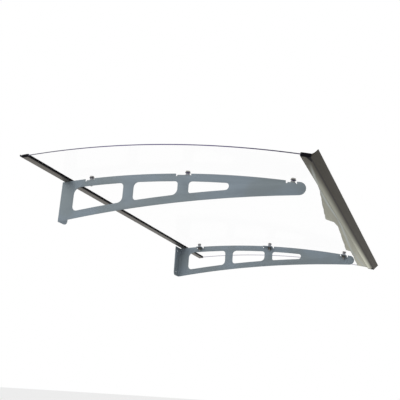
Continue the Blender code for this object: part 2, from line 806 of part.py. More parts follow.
def screw_mesh():
    """Hexagon-head screw: chamfered head above the sealing washer, shank down to its end."""
    under_head = SHEET_FACE + 2 * SEAT_GAP + SEALING_WASHER_THICKNESS
    top = under_head + HEAD_HEIGHT
    end = under_head - SCREW_LENGTH
    profile = [
        (0.0, top),
        (HEX_CORNER_RADIUS - 2 * HEAD_CHAMFER, top),
        (HEX_CORNER_RADIUS, top - HEAD_CHAMFER),
        (HEX_CORNER_RADIUS, under_head),
        (SCREW_RADIUS, under_head),
        (SCREW_RADIUS, end + HEAD_CHAMFER),
        (SCREW_RADIUS - HEAD_CHAMFER, end),
        (0.0, end),
    ]
    return hexagonal(turned("screw_blank", profile, closed=False), top, end)


def nut_mesh():
    """Lock nut under the tab: a hexagon with a round locking collar below it."""
    top = TAB_TOP - PLATE_THICKNESS - TAB_WASHER_THICKNESS - 2 * SEAT_GAP
    hex_low = top - NUT_HEX_HEIGHT
    bottom = hex_low - NUT_COLLAR_HEIGHT
    profile = [
        (BORE_RADIUS, top),
        (HEX_CORNER_RADIUS - HEAD_CHAMFER, top),
        (HEX_CORNER_RADIUS, top - HEAD_CHAMFER / 2),
        (HEX_CORNER_RADIUS, hex_low + HEAD_CHAMFER),
        (NUT_COLLAR_RADIUS, hex_low),
        (NUT_COLLAR_RADIUS, bottom + HEAD_CHAMFER),
        (NUT_COLLAR_RADIUS - HEAD_CHAMFER, bottom),
        (BORE_RADIUS, bottom),
    ]
    return hexagonal(turned("nut_blank", profile, closed=True), top, bottom)


def fixings(materials):
    """Screw, sealing washer, spacer, tab washer and lock nut at every tab."""
    washer_low = SHEET_FACE + SEAT_GAP
    tab_low = TAB_TOP - PLATE_THICKNESS - SEAT_GAP
    meshes = {
        "sheet_screw": (screw_mesh(), "steel"),
        "sealing_washer": (
            ring_mesh("sealing_washer", BORE_RADIUS, SEALING_WASHER_RADIUS,
                      washer_low + SEALING_WASHER_THICKNESS, washer_low),
            "steel",
        ),
        "rubber_spacer": (
            ring_mesh("rubber_spacer", BORE_RADIUS, SPACER_RADIUS,
                      -SHEET_FACE - SEAT_GAP, TAB_TOP + SEAT_GAP, waist=SPACER_WAIST),
            "spacer",
        ),
        "tab_washer": (
            ring_mesh("tab_washer", BORE_RADIUS, TAB_WASHER_RADIUS,
                      tab_low, tab_low - TAB_WASHER_THICKNESS),
            "steel",
        ),
        "lock_nut": (nut_mesh(), "steel"),
    }
    for kind, (mesh, material) in meshes.items():
        mesh.name = kind
        mesh.materials.clear()
        mesh.materials.append(materials[material])
        for side, sign in SIDES:
            for number, (distance, _, _) in enumerate(TABS, 1):
                obj = bpy.data.objects.new(f"{kind}_{side}_{number}", mesh)
                bpy.data.collections[PARTS].objects.link(obj)
                obj.matrix_world = fixing_frame(sign, distance)


def build():
    """Make every piece of the canopy."""
    clear_scene()
    materials = make_materials()
    rear_rail(materials)
    rear_wall_seal(materials)
    gasket("rear_glazing_gasket", RAIL_SLOT_END, RAIL_FRONT, SHEET_WIDTH, materials)
    gutter_rail(materials)
    gasket("front_glazing_gasket", GUTTER_SLOT_END, GUTTER_JAW_EDGE, SHEET_WIDTH, materials)
    rear_end_caps(materials)
    gutter_end_caps(materials)
    clear_sheet(materials)
    for side, sign in SIDES:
        bracket(side, sign, materials)
    fixings(materials)


build()
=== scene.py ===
"""Clear door canopy: finished pieces and studio.

Each piece is built round the fixed frame: sections, arcs and fixing places are read from
the frame's own nodes, so a finished piece lies where its node lies. Metres, +Z up. X runs
along the wall and -Y points out from it.
"""
import functools
import math

import bmesh
import bpy
import numpy as np
from bpy.props import FloatProperty, FloatVectorProperty, IntProperty, PointerProperty
from mathutils import Matrix, Vector
from mathutils.geometry import delaunay_2d_cdt


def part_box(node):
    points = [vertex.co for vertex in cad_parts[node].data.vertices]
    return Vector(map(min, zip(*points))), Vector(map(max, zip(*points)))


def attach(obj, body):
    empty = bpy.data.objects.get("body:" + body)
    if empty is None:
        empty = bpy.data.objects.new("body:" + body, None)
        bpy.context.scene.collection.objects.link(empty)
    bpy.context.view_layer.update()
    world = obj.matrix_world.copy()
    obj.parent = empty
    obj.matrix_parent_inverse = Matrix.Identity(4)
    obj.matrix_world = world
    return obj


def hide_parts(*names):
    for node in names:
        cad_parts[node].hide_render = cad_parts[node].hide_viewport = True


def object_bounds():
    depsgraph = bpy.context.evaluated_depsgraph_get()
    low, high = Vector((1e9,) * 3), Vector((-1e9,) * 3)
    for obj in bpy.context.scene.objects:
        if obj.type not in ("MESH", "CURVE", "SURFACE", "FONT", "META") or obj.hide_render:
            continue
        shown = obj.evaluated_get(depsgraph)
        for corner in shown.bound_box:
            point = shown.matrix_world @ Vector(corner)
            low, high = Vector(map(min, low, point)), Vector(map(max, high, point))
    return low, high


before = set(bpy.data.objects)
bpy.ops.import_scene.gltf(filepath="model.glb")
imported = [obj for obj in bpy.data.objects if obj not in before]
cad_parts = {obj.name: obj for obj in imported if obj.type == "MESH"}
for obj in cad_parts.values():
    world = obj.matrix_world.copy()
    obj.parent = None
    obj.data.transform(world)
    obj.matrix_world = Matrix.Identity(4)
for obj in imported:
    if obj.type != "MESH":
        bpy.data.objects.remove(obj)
CAD_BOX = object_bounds()

bl_info = {
    "name": "Clear Door Canopy",
    "version": (1, 0, 0),
    "blender": (4, 5, 0),
    "location": "View3D > Sidebar > Canopy",
    "description": "Builds a clear door canopy with its rails, brackets and fixings",
    "category": "Add Mesh",
}

SIDES = ("left", "right")
FIXINGS = (1, 2, 3)
BODY = "root"
COLOUR_MIX = {"data_type": "RGBA"}

# Fineness of the meshes: rows of a thread's turn, of a chamfer and of a spacer, sides of a
# hole and of the floor, and steps of an eased edge
THREAD_ROWS = 6
CHAMFER_ROWS = 5
SPACER_LEVELS = 8
HOLE_STEPS = 48
FLOOR_STEPS = 96
BEVEL_STEPS = 2

# What counts as one point and as one flat face, and which edges are eased
WELD = 1e-5
CUT_TOLERANCE = 1e-7
FLAT_ANGLE = math.radians(0.5)
EASED_ANGLE = math.radians(40)

# How far the chamfer of a head or nut drops for each millimetre that it runs outwards
CHAMFER_SLOPE = 0.5

# Edges that turn by more than this many degrees are shaded sharp
SECTION_SHADE = 32
PLATE_SHADE = 38
METAL_SHADE = 30
RUBBER_SHADE = 40

# Reach of the painted reflection, a pale ragged band painted on the sheet, inwards from the gutter
# rail, in metres, at places along X
REFLECTION_REACH = (
    (-0.750, 0.002), (-0.590, 0.001), (-0.500, 0.004), (-0.355, 0.019), (-0.200, 0.039),
    (-0.087, 0.054), (-0.064, 0.029), (-0.006, 0.023), (0.180, 0.036), (0.415, 0.053),
    (0.425, 0.034), (0.564, 0.041), (0.737, 0.048),
)

# Painted highlight, a pale line through the painted reflection and the jaw: its distance inwards
# from the fold, in metres, along X
HIGHLIGHT_PLACES = (
    (-0.700, 0.011), (-0.590, 0.022), (-0.449, 0.031), (-0.289, 0.034), (-0.107, 0.029),
    (0.120, 0.041), (0.398, 0.056), (0.644, 0.047), (0.748, 0.045),
)
HIGHLIGHT_WIDTH = 0.006

# Painted shade, a dark line beside the gutter rail's fold: its middle inwards from the fold, and
# where it fades
FOLD_LINE = 0.0015
FOLD_LINE_CORE = 0.0010
FOLD_LINE_REACH = 0.0034


def colour_property(name, description, default):
    """Setting for a colour."""
    return FloatVectorProperty(
        name=name, description=description, default=default, size=3, subtype="COLOR"
    )


def length_property(name, description, default):
    """Setting for a length."""
    return FloatProperty(
        name=name, description=description, default=default, unit="LENGTH", subtype="DISTANCE"
    )


class CanopySheetSettings(bpy.types.PropertyGroup):
    """Sizes and colours of the clear sheet."""

    arc_steps: IntProperty(
        name="Arc Steps", description="Strips along the sheet's curve", default=120, min=24
    )
    hole_radius: length_property("Hole Radius", "Clearance hole at each fixing", 0.005)
    tint: colour_property(
        "Tint",
        "Body colour that the thin sheet shows where it can be seen at all",
        (0.62, 0.64, 0.72),
    )
    opacity: FloatProperty(
        name="Opacity", description="How much of the tint a clean face shows", default=0.002
    )
    sheen: FloatProperty(
        name="Sheen", description="Share of the sheet's mirror reflection", default=0.02
    )
    # Painted light and shade on the cut edge: darker towards the gutter, pale at the +X end
    edge_rear: colour_property(
        "Rear Edge Colour", "Cut edge beside the wall rail", (0.080, 0.076, 0.125)
    )
    edge_middle: colour_property(
        "Middle Edge Colour", "Cut edge at the crest", (0.080, 0.050, 0.210)
    )
    edge_far_light: colour_property(
        "Far Edge Colour", "Pale cut edge at the +X end", (0.52, 0.50, 0.62)
    )
    edge_front_shade: colour_property(
        "Front Edge Colour", "Cut edge beside the gutter rail", (0.016, 0.010, 0.060)
    )
    # Painted reflection: a pale ragged band painted on the sheet beside the gutter rail and over
    # the front gasket
    reflection_colour: colour_property(
        "Reflection Colour", "Dried film on the sheet beside the gutter rail", (0.400, 0.398, 0.320)
    )
    reflection_opacity: FloatProperty(
        name="Reflection Opacity", description="Cover of the film where it is thickest", default=0.97
    )


class CanopyRailSettings(bpy.types.PropertyGroup):
    """Sizes and colours of the two rails, their rubber and their caps."""

    edge_ease: length_property("Edge Ease", "Radius on the rails' extruded corners", 0.0004)
    rubber_ease: length_property("Rubber Ease", "Radius on the corners of gaskets and seal", 0.0006)
    rear_colour: colour_property(
        "Wall Rail Colour", "Aluminium of the wall rail", (0.150, 0.136, 0.118)
    )
    gutter_colour: colour_property(
        "Gutter Rail Colour", "Aluminium of the gutter rail's lip", (0.058, 0.051, 0.038)
    )
    # Painted light: the jaw's underside is a paler, lit copy of the rail's colour
    lit_jaw_colour: colour_property(
        "Lit Jaw Colour", "Paler underside of the gutter rail's lower jaw", (0.45, 0.45, 0.37)
    )
    # Painted highlight: a pale bluish line along the jaw and across the painted reflection
    highlight_colour: colour_property(
        "Highlight Colour", "Pale bluish streak that runs along film and jaw", (0.58, 0.62, 0.60)
    )
    # Painted shade: a dark line along the gutter rail's fold
    fold_shade_colour: colour_property(
        "Fold Shade Colour", "Dark line along the gutter rail's fold", (0.020, 0.017, 0.013)
    )
    rubber_colour: colour_property(
        "Rubber Colour", "Gaskets and seal", (0.006, 0.006, 0.007)
    )
    cap_colour: colour_property(
        "Cap Colour", "End caps", (0.003, 0.003, 0.005)
    )


class CanopyBracketSettings(bpy.types.PropertyGroup):
    """Sizes and colours of the folded brackets."""

    edge_ease: length_property("Edge Ease", "Radius left on the cut edges by deburring", 0.0003)
    colour: colour_property(
        "Plate Colour", "Satin blue-grey plate", (0.232, 0.278, 0.318)
    )
    cloud_colour: colour_property(
        "Cloud Colour", "Slightly warmer clouds in the satin finish", (0.215, 0.252, 0.272)
    )


class CanopyFixingSettings(bpy.types.PropertyGroup):
    """Sizes and colours of the screws, washers, spacers and nuts."""

    round_steps: IntProperty(
        name="Round Steps", description="Sides of the turned pieces", default=48, min=16
    )
    thread_pitch: length_property("Thread Pitch", "Pitch of the screw thread", 0.00125)
    thread_depth: length_property(
        "Thread Depth", "Depth of the thread below the shank's outer size", 0.0007
    )
    steel_colour: colour_property(
        "Steel Colour", "Screws and the washers under their heads", (0.40, 0.39, 0.37)
    )
    # Painted shade: the nuts and the washers above them are a darker copy of the screws' steel, for
    # the shade under the tabs
    shaded_nut_colour: colour_property(
        "Shaded Nut Colour", "Dull nuts and the washers above them", (0.085, 0.078, 0.068)
    )
    spacer_colour: colour_property(
        "Spacer Colour", "Milky rubber of the spacers", (0.38, 0.385, 0.39)
    )
    insert_colour: colour_property(
        "Insert Colour",
        "Locking ring in each nut and sealing layer of each washer",
        (0.13, 0.13, 0.135),
    )


class CanopyStageSettings(bpy.types.PropertyGroup):
    """Camera, lights, floor and backdrop."""

    camera_place: FloatVectorProperty(
        name="Camera Place",
        description="Where the camera stands",
        default=(-2.1833, -1.1690, -0.6209),
        size=3,
        unit="LENGTH",
        subtype="TRANSLATION",
    )
    heading: FloatProperty(
        name="Heading",
        description="Turn of the view from +Y towards +X",
        default=math.radians(68.146),
        unit="ROTATION",
        subtype="ANGLE",
    )
    climb: FloatProperty(
        name="Climb",
        description="Angle by which the camera looks up",
        default=math.radians(16.363),
        unit="ROTATION",
        subtype="ANGLE",
    )
    roll: FloatProperty(
        name="Roll",
        description="Tilt of the camera about its view",
        default=math.radians(3.799),
        unit="ROTATION",
        subtype="ANGLE",
    )
    lens: FloatProperty(
        name="Lens", description="Focal length on a 36 mm sensor, in millimetres", default=55.84
    )
    floor_height: length_property("Floor Height", "Height of the ground below the canopy", -2.7)
    floor_radius: length_property("Floor Radius", "Reach of the ground round the canopy", 80.0)
    floor_glow: FloatProperty(
        name="Floor Glow",
        description="Share of plain white in the floor as it is seen",
        default=0.6,
    )
    sky_strength: FloatProperty(
        name="Sky Strength", description="Even light from all round", default=0.66
    )
    lamp_power: FloatProperty(
        name="Lamp Power", description="Power of the soft lamp", default=4.5, unit="POWER"
    )
    lamp_size: length_property("Lamp Size", "Width of the soft lamp's disk", 1.8)
    lamp_place: FloatVectorProperty(
        name="Lamp Place",
        description="Where the soft lamp hangs",
        default=(-1.6, 0.75, 0.3),
        size=3,
        unit="LENGTH",
        subtype="TRANSLATION",
    )
    lamp_aim: FloatVectorProperty(
        name="Lamp Aim",
        description="Point that the soft lamp faces",
        default=(-0.5, -0.2, -0.1),
        size=3,
        unit="LENGTH",
        subtype="TRANSLATION",
    )


def settings(name):
    """Property group of the scene by name."""
    return getattr(bpy.context.scene, name)


class Wire:
    """Output of a shader node; arithmetic on it adds Math nodes to the same tree."""

    def __init__(self, graph, socket):
        self.graph = graph
        self.socket = socket

    def math(self, operation, *values):
        """Math node of an operation on values or wires."""
        return self.graph.add(
            "ShaderNodeMath", {"operation": operation}, dict(enumerate(values))
        )

    def __add__(self, other):
        return self.math("ADD", self, other)

    def __radd__(self, other):
        return self.math("ADD", other, self)

    def __sub__(self, other):
        return self.math("SUBTRACT", self, other)

    def __rsub__(self, other):
        return self.math("SUBTRACT", other, self)

    def __mul__(self, other):
        return self.math("MULTIPLY", self, other)

    def __rmul__(self, other):
        return self.math("MULTIPLY", other, self)

    def __truediv__(self, other):
        return self.math("DIVIDE", self, other)

    def __rtruediv__(self, other):
        return self.math("DIVIDE", other, self)

    def absolute(self):
        """Value without its sign."""
        return self.math("ABSOLUTE", self)

    def smooth(self, low, high):
        """0 below low, 1 above high and a smooth rise between them."""
        return self.graph.add(
            "ShaderNodeMapRange",
            {"interpolation_type": "SMOOTHSTEP"},
            {"Value": self, "From Min": low, "From Max": high},
        )

    def scale(self, low, high):
        """Spread of a value from 0 to 1 between two others."""
        return self.graph.add(
            "ShaderNodeMapRange", {}, {"Value": self, "To Min": low, "To Max": high}
        )


class Graph:
    """Node tree of a material or of the world."""

    def __init__(self, tree):
        self.tree = tree
        self.tree.nodes.clear()

    def add(self, kind, options=None, sockets=None, output=0):
        """New node of a kind: its options first, then the values or links of its sockets."""
        node = self.tree.nodes.new(kind)
        for name, value in (options or {}).items():
            if name == "stops":
                self._set_stops(node.color_ramp, value)
            else:
                setattr(node, name, value)
        for key, value in (sockets or {}).items():
            if isinstance(value, Wire):
                self.tree.links.new(value.socket, node.inputs[key])
            else:
                node.inputs[key].default_value = value
        return Wire(self, node.outputs[output]) if node.outputs else None

    @staticmethod
    def _set_stops(ramp, stops):
        while len(ramp.elements) < len(stops):
            ramp.elements.new(0.5)
        for element, (place, colour) in zip(ramp.elements, stops):
            element.position = place
            element.color = colour

    def blend(self, factor, first, second):
        """Mix of two colours."""
        return self.add(
            "ShaderNodeMix",
            COLOUR_MIX,
            {"Factor": factor, 6: rgba(first), 7: rgba(second)},
            output=2,
        )

    def place(self):
        """Point in the piece's own frame, and its X, Y and Z apart."""
        where = self.add("ShaderNodeTexCoord", output=3)
        parts = self.add("ShaderNodeSeparateXYZ", {}, {0: where})
        node = parts.socket.node
        return where, [Wire(self, node.outputs[axis]) for axis in range(3)]

    def along(self, position, places):
        """Value that runs straight between (position, value) places, from 0 to their highest."""
        low = places[0][0]
        span = places[-1][0] - low
        highest = max(value for _, value in places)
        stops = [((at - low) / span, (value / highest,) * 3 + (1.0,)) for at, value in places]
        share = (position - low) / span
        return self.add("ShaderNodeValToRGB", {"stops": stops}, {"Fac": share}) * highest

    def noise(self, where, scale, detail=3.0, stretch=(1.0, 1.0, 1.0)):
        """Noise value at a point, drawn out along an axis by a small stretch."""
        spread = self.add(
            "ShaderNodeVectorMath", {"operation": "MULTIPLY"}, {0: where, 1: stretch}
        )
        return self.add(
            "ShaderNodeTexNoise", {}, {"Vector": spread, "Scale": scale, "Detail": detail}
        )

    def bump(self, height, strength, distance):
        """Normal from a height."""
        return self.add(
            "ShaderNodeBump", {}, {"Height": height, "Strength": strength, "Distance": distance}
        )

    def surface(self, shader):
        """Use a shader as the output's surface."""
        self.add("ShaderNodeOutputMaterial", {}, {"Surface": shader})


def rgba(colour):
    """Colour with full alpha; a wire stays as it is."""
    return colour if isinstance(colour, Wire) else (*tuple(colour)[:3], 1.0)


def new_material(name):
    """Material and its empty node tree."""
    material = bpy.data.materials.new(name)
    material.use_nodes = True
    return material, Graph(material.node_tree)


@functools.cache
def plate_material():
    """Satin blue-grey plate: soft clouds, a fine grain and faint handling marks."""
    own = settings("canopy_brackets")
    material, graph = new_material("satin_plate")
    where, _ = graph.place()
    clouds = graph.noise(where, 9.0, 2.0).smooth(0.35, 0.65)
    grain = graph.noise(where, 900.0, 4.0)
    marks = graph.noise(where, 60.0, 5.0, (1.0, 0.25, 1.0)).smooth(0.55, 0.75)
    colour = graph.blend(clouds, own.colour, own.cloud_colour)
    colour = graph.blend(marks * 0.18, colour, [0.8 * part for part in own.colour])
    graph.surface(graph.add("ShaderNodeBsdfPrincipled", {}, {
        "Base Color": colour,
        "Roughness": grain.scale(0.48, 0.62) + marks * 0.06,
        "Metallic": 0.55,
        "Normal": graph.bump(grain, 0.10, 0.0002),
    }))
    return material


def rail_graph(name):
    """New material of drawn metal, with its die lines along X and its broad dull patches."""
    material, graph = new_material(name)
    where, axes = graph.place()
    lines = graph.noise(where, 700.0, 3.0, (0.004, 1.0, 1.0))
    patches = graph.noise(where, 5.0, 3.0, (0.6, 1.0, 1.0)).smooth(0.30, 0.70)
    return material, graph, where, axes, lines, patches


@functools.cache
def wall_rail_material():
    """Drawn aluminium of the wall rail."""
    own = settings("canopy_rails")
    material, graph, _, _, lines, patches = rail_graph("wall_rail_aluminium")
    dull = [0.82 * part for part in own.rear_colour]
    colour = graph.blend(patches * 0.5 + lines * 0.3, own.rear_colour, dull)
    graph.surface(graph.add("ShaderNodeBsdfPrincipled", {}, {
        "Base Color": colour,
        "Roughness": lines.scale(0.34, 0.50),
        "Metallic": 0.7,
        "Normal": graph.bump(lines, 0.15, 0.0002),
    }))
    return material


def gutter_rail_material(fold, jaw_edge):
    """Gutter rail: brown-grey lip, and painted light and shade on the jaw: a dark fold line, a
    brown band by the fold, and a paler underside that is paler still towards +X and darker towards
    the near end.
    """
    own = settings("canopy_rails")
    material, graph, where, axes, lines, patches = rail_graph("gutter_rail_aluminium")
    inward = axes[1] - fold[0]
    # Painted shade: the jaw darkens towards the near end and towards the fold
    far = axes[0].smooth(-0.73, -0.45)
    shade = (inward / (jaw_edge[0] - fold[0])).smooth(0.05, 0.95)
    brown = [1.3 * part for part in own.gutter_colour]
    jaw = graph.blend(shade * (far * 0.85 + 0.15), brown, own.lit_jaw_colour)
    # Painted light: the jaw gets paler towards +X
    pale = [1.8 * part for part in own.lit_jaw_colour]
    jaw = graph.blend(shade * axes[0].smooth(0.05, 0.60), jaw, pale)
    # Painted highlight along the jaw
    highlight = painted_highlight_at(graph, where, axes[0], inward)
    jaw = graph.blend(highlight * 0.6, jaw, own.highlight_colour)
    # Painted shade: a dark line along the fold
    fold_shade = 1.0 - (inward - FOLD_LINE).absolute().smooth(FOLD_LINE_CORE, FOLD_LINE_REACH)
    lip = graph.blend(patches * 0.35 + lines * 0.25, own.gutter_colour,
                      [0.8 * part for part in own.gutter_colour])
    # Painted light and shade: the jaw gets the paler colour, the lip the darker one
    under_jaw = inward.smooth(0.0, 0.0008)
    colour = graph.blend(fold_shade, graph.blend(under_jaw, lip, jaw), own.fold_shade_colour)
    graph.surface(graph.add("ShaderNodeBsdfPrincipled", {}, {
        "Base Color": colour,
        "Roughness": lines.scale(0.48, 0.66),
        "Metallic": 0.3,
        "Specular IOR Level": 0.2,
        "Normal": graph.bump(lines, 0.18, 0.0002),
    }))
    return material


@functools.cache
def rubber_material():
    """Matt black rubber with a dusty bloom."""
    own = settings("canopy_rails")
    material, graph = new_material("black_rubber")
    where, _ = graph.place()
    bloom = graph.noise(where, 45.0, 4.0, (0.3, 1.0, 1.0)).smooth(0.45, 0.75)
    grain = graph.noise(where, 1400.0, 2.0)
    graph.surface(graph.add("ShaderNodeBsdfPrincipled", {}, {
        "Base Color": graph.blend(bloom, own.rubber_colour, [2.6 * p for p in own.rubber_colour]),
        "Roughness": grain.scale(0.60, 0.85),
        "Specular IOR Level": 0.25,
        "Normal": graph.bump(grain, 0.25, 0.0001),
    }))
    return material


@functools.cache
def painted_reflection_rubber_material():
    """Front gasket: black rubber, with the sheet's painted reflection over it away from the near
    end.
    """
    own = settings("canopy_rails")
    painted_reflection = settings("canopy_sheet").reflection_colour
    material, graph = new_material("rubber_with_painted_reflection")
    where, axes = graph.place()
    # Painted reflection laid over the gasket away from the near end
    reflection_cover = axes[0].smooth(-0.70, -0.55) * graph.noise(where, 40.0, 4.0).scale(0.80, 1.0)
    graph.surface(graph.add("ShaderNodeBsdfPrincipled", {}, {
        "Base Color": graph.blend(reflection_cover, own.rubber_colour, painted_reflection),
        "Roughness": 0.7,
    }))
    return material


@functools.cache
def cap_material():
    """Moulded black plastic with a fine spark texture."""
    own = settings("canopy_rails")
    material, graph = new_material("cap_plastic")
    where, _ = graph.place()
    grain = graph.noise(where, 1100.0, 3.0)
    graph.surface(graph.add("ShaderNodeBsdfPrincipled", {}, {
        "Base Color": graph.blend(grain, own.cap_colour, [1.8 * p for p in own.cap_colour]),
        "Roughness": grain.scale(0.60, 0.85),
        "Specular IOR Level": 0.1,
        "Normal": graph.bump(grain, 0.2, 0.0001),
    }))
    return material


@functools.cache
def steel_material(name, colour):
    """Turned and rolled steel, a little stained."""
    own = tuple(getattr(settings("canopy_fixings"), colour))
    material, graph = new_material(name)
    where, _ = graph.place()
    stain = graph.noise(where, 260.0, 4.0).smooth(0.40, 0.70)
    rings = graph.noise(where, 2200.0, 2.0, (1.0, 1.0, 0.15))
    graph.surface(graph.add("ShaderNodeBsdfPrincipled", {}, {
        "Base Color": graph.blend(stain, own, [0.55 * part for part in own]),
        "Roughness": rings.scale(0.34, 0.52),
        "Metallic": 0.35,
        "Normal": graph.bump(rings, 0.12, 0.0001),
    }))
    return material


@functools.cache
def spacer_material():
    """Pale moulded rubber of the spacers, milky rather than clear."""
    own = settings("canopy_fixings")
    material, graph = new_material("pale_rubber")
    where, _ = graph.place()
    cloud = graph.noise(where, 180.0, 3.0)
    graph.surface(graph.add("ShaderNodeBsdfPrincipled", {}, {
        "Base Color": graph.blend(cloud, own.spacer_colour, [0.9 * p for p in own.spacer_colour]),
        "Roughness": cloud.scale(0.35, 0.55),
    }))
    return material


@functools.cache
def insert_material():
    """Grey locking ring of a nut and sealing layer of a washer."""
    own = settings("canopy_fixings")
    material, graph = new_material("nut_insert")
    where, _ = graph.place()
    grain = graph.noise(where, 900.0, 2.0)
    graph.surface(graph.add("ShaderNodeBsdfPrincipled", {}, {
        "Base Color": graph.blend(grain, own.insert_colour, [1.3 * p for p in own.insert_colour]),
        "Roughness": grain.scale(0.40, 0.55),
    }))
    return material


def painted_highlight_at(graph, where, along, inward):
    """Strength of the painted highlight at a place along the rail and a distance from its fold."""
    wander = (graph.noise(where, 12.0, 3.0) - 0.5) * HIGHLIGHT_WIDTH
    off = inward - graph.along(along, HIGHLIGHT_PLACES) + wander
    close = 1.0 - off.absolute().smooth(0.1 * HIGHLIGHT_WIDTH, HIGHLIGHT_WIDTH)
    return close * along.smooth(-0.72, -0.60)


def sheet_material(fold, jaw_edge):
    """Clear sheet: nearly invisible, with a painted reflection beside the gutter rail, a pale
    ragged band in its colour.
    """
    own = settings("canopy_sheet")
    material, graph = new_material("clear_polycarbonate")
    where, axes = graph.place()
    ragged = graph.noise(where, 30.0, 6.0, (0.35, 1.6, 1.0)) - 0.5
    inward = axes[1] - jaw_edge[0]
    # Painted reflection: a pale ragged band that gets paler towards +X, is mottled and has a darker
    # rim along its inner edge
    over = graph.along(axes[0], REFLECTION_REACH) + ragged * 0.010 - inward
    painted_reflection = over.smooth(0.0, 0.0018)
    rim = 1.0 - over.smooth(0.0018, 0.0050)
    mottle = graph.noise(where, 26.0, 4.0, (0.12, 2.2, 1.0)).smooth(0.42, 0.66)
    # Painted highlight carried across the painted reflection
    highlight = painted_highlight_at(graph, where, axes[0], axes[1] - fold[0])
    pale = [1.6 * part for part in own.reflection_colour]
    colour = graph.blend(painted_reflection, own.tint, own.reflection_colour)
    colour = graph.blend(painted_reflection * axes[0].smooth(0.05, 0.60) * 0.7, colour, pale)
    colour = graph.blend(painted_reflection * mottle * 0.45, colour, pale)
    colour = graph.blend(painted_reflection * highlight * 0.8, colour, settings("canopy_rails").highlight_colour)
    colour = graph.blend(painted_reflection * rim * 0.5, colour, [0.6 * part for part in own.reflection_colour])
    opacity = painted_reflection * (own.reflection_opacity - own.opacity) + own.opacity
    body = graph.add("ShaderNodeBsdfPrincipled", {}, {
        "Base Color": colour,
        "Roughness": 0.5,
        "Specular IOR Level": 0.2,
        "Alpha": opacity,
    })
    gloss = graph.add("ShaderNodeBsdfGlossy", {}, {"Roughness": 0.08})
    sheen = graph.add("ShaderNodeFresnel", {}, {"IOR": 1.585}) * own.sheen
    graph.surface(graph.add("ShaderNodeMixShader", {}, {0: sheen, 1: body, 2: gloss}))
    return material


@functools.cache
def sheet_edge_material():
    """Cut edge of the sheet: violet, with painted shade that darkens it towards the gutter and
    painted light that makes it pale at the far end.
    """
    own = settings("canopy_sheet")
    material, graph = new_material("polycarbonate_edge")
    where, axes = graph.place()
    # Painted shade towards the gutter, painted light at the +X end
    out = axes[1] / CAD_BOX[0][1]
    colour = graph.blend(out.smooth(0.05, 0.40), own.edge_rear, own.edge_middle)
    colour = graph.blend(out.smooth(0.62, 0.95), colour, own.edge_front_shade)
    colour = graph.blend(axes[0].smooth(0.0, 0.05), colour, own.edge_far_light)
    cut = graph.noise(where, 500.0, 3.0, (1.0, 1.0, 0.2))
    graph.surface(graph.add("ShaderNodeBsdfPrincipled", {}, {
        "Base Color": colour,
        "Roughness": cut.scale(0.25, 0.40),
    }))
    return material


def object_of(name, mesh, *materials):
    """New object of the scene with a mesh and its materials."""
    mesh.name = name
    obj = bpy.data.objects.new(name, mesh)
    bpy.context.scene.collection.objects.link(obj)
    for material in materials:
        mesh.materials.append(material)
    return obj


def mesh_of(bm, name="piece"):
    """Mesh from a bmesh, which is freed."""
    mesh = bpy.data.meshes.new(name)
    bm.to_mesh(mesh)
    bm.free()
    return mesh


def smooth(mesh, angle=SECTION_SHADE):
    """Shade smooth with the hard edges kept sharp."""
    mesh.shade_smooth()
    mesh.set_sharp_from_angle(angle=math.radians(angle))
    return mesh


def finished(obj, slot, *nodes):
    """Put a piece on the body in the place of its nodes."""
    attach(obj, BODY)
    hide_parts(*nodes)
    return obj


def welded(node):
    """Welded copy of a frame node as a bmesh."""
    bm = bmesh.new()
    bm.from_mesh(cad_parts[node].data)
    bmesh.ops.remove_doubles(bm, verts=bm.verts, dist=WELD)
    return bm


def end_outline(node):
    """Corner points (y, z) round a straight piece's +X end face."""
    bm = welded(node)
    end = max(vert.co.x for vert in bm.verts)
    faces = [face for face in bm.faces if all(abs(vert.co.x - end) < WELD for vert in face.verts)]
    # The list keeps the outline's start the same in each run; the set's order changes
    inside = set(faces)
    rim = [edge for face in faces for edge in face.edges if len(inside & set(edge.link_faces)) == 1]
    vert = rim[0].verts[0]
    start = vert
    edge = rim[0]
    points = []
    while True:
        points.append(Vector((vert.co.y, vert.co.z)))
        vert = edge.other_vert(vert)
        if vert == start:
            break
        edge = next(e for e in rim if vert in e.verts and e != edge)
    bm.free()
    return points


def eased(outline, radius, steps=3, straight=8.0):
    """Outline with a small curve at each corner that turns by more than a few degrees."""
    points = []
    count = len(outline)
    for index, corner in enumerate(outline):
        back = outline[index - 1] - corner
        ahead = outline[(index + 1) % count] - corner
        turn = math.pi - back.angle(ahead)
        if turn < math.radians(straight):
            points.append(corner.copy())
            continue
        reach = min(radius * math.tan(turn / 2), 0.45 * back.length, 0.45 * ahead.length)
        start = corner + back.normalized() * reach
        end = corner + ahead.normalized() * reach
        for step in range(steps + 1):
            share = step / steps
            points.append(
                (1 - share) ** 2 * start + 2 * share * (1 - share) * corner + share ** 2 * end
            )
    return points


def extruded(name, outline, low, high, *materials):
    """Straight piece along X with a closed section of (y, z) points."""
    bm = bmesh.new()
    rings = [
        [bm.verts.new((x, point.x, point.y)) for point in outline] for x in (low, high)
    ]
    count = len(outline)
    for index in range(count):
        after = (index + 1) % count
        bm.faces.new((rings[0][index], rings[0][after], rings[1][after], rings[1][index]))
    bm.faces.new(rings[0])
    bm.faces.new(list(reversed(rings[1])))
    bmesh.ops.recalc_face_normals(bm, faces=bm.faces)
    mesh = mesh_of(bm)
    return object_of(name, smooth(mesh), *materials)


def rail_piece(node, slot, ease, material):
    """Straight piece with eased corners in the place of a frame node."""
    low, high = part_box(node)
    piece = extruded(node + "_piece", eased(end_outline(node), ease), low.x, high.x, material)
    return finished(piece, slot, node)


def gutter_places():
    """Section points (y, z) of the gutter rail's fold and of its jaw's inner edge."""
    outline = end_outline("front_gutter_rail")
    return min(outline, key=lambda point: point.y), max(outline, key=lambda point: point.x)


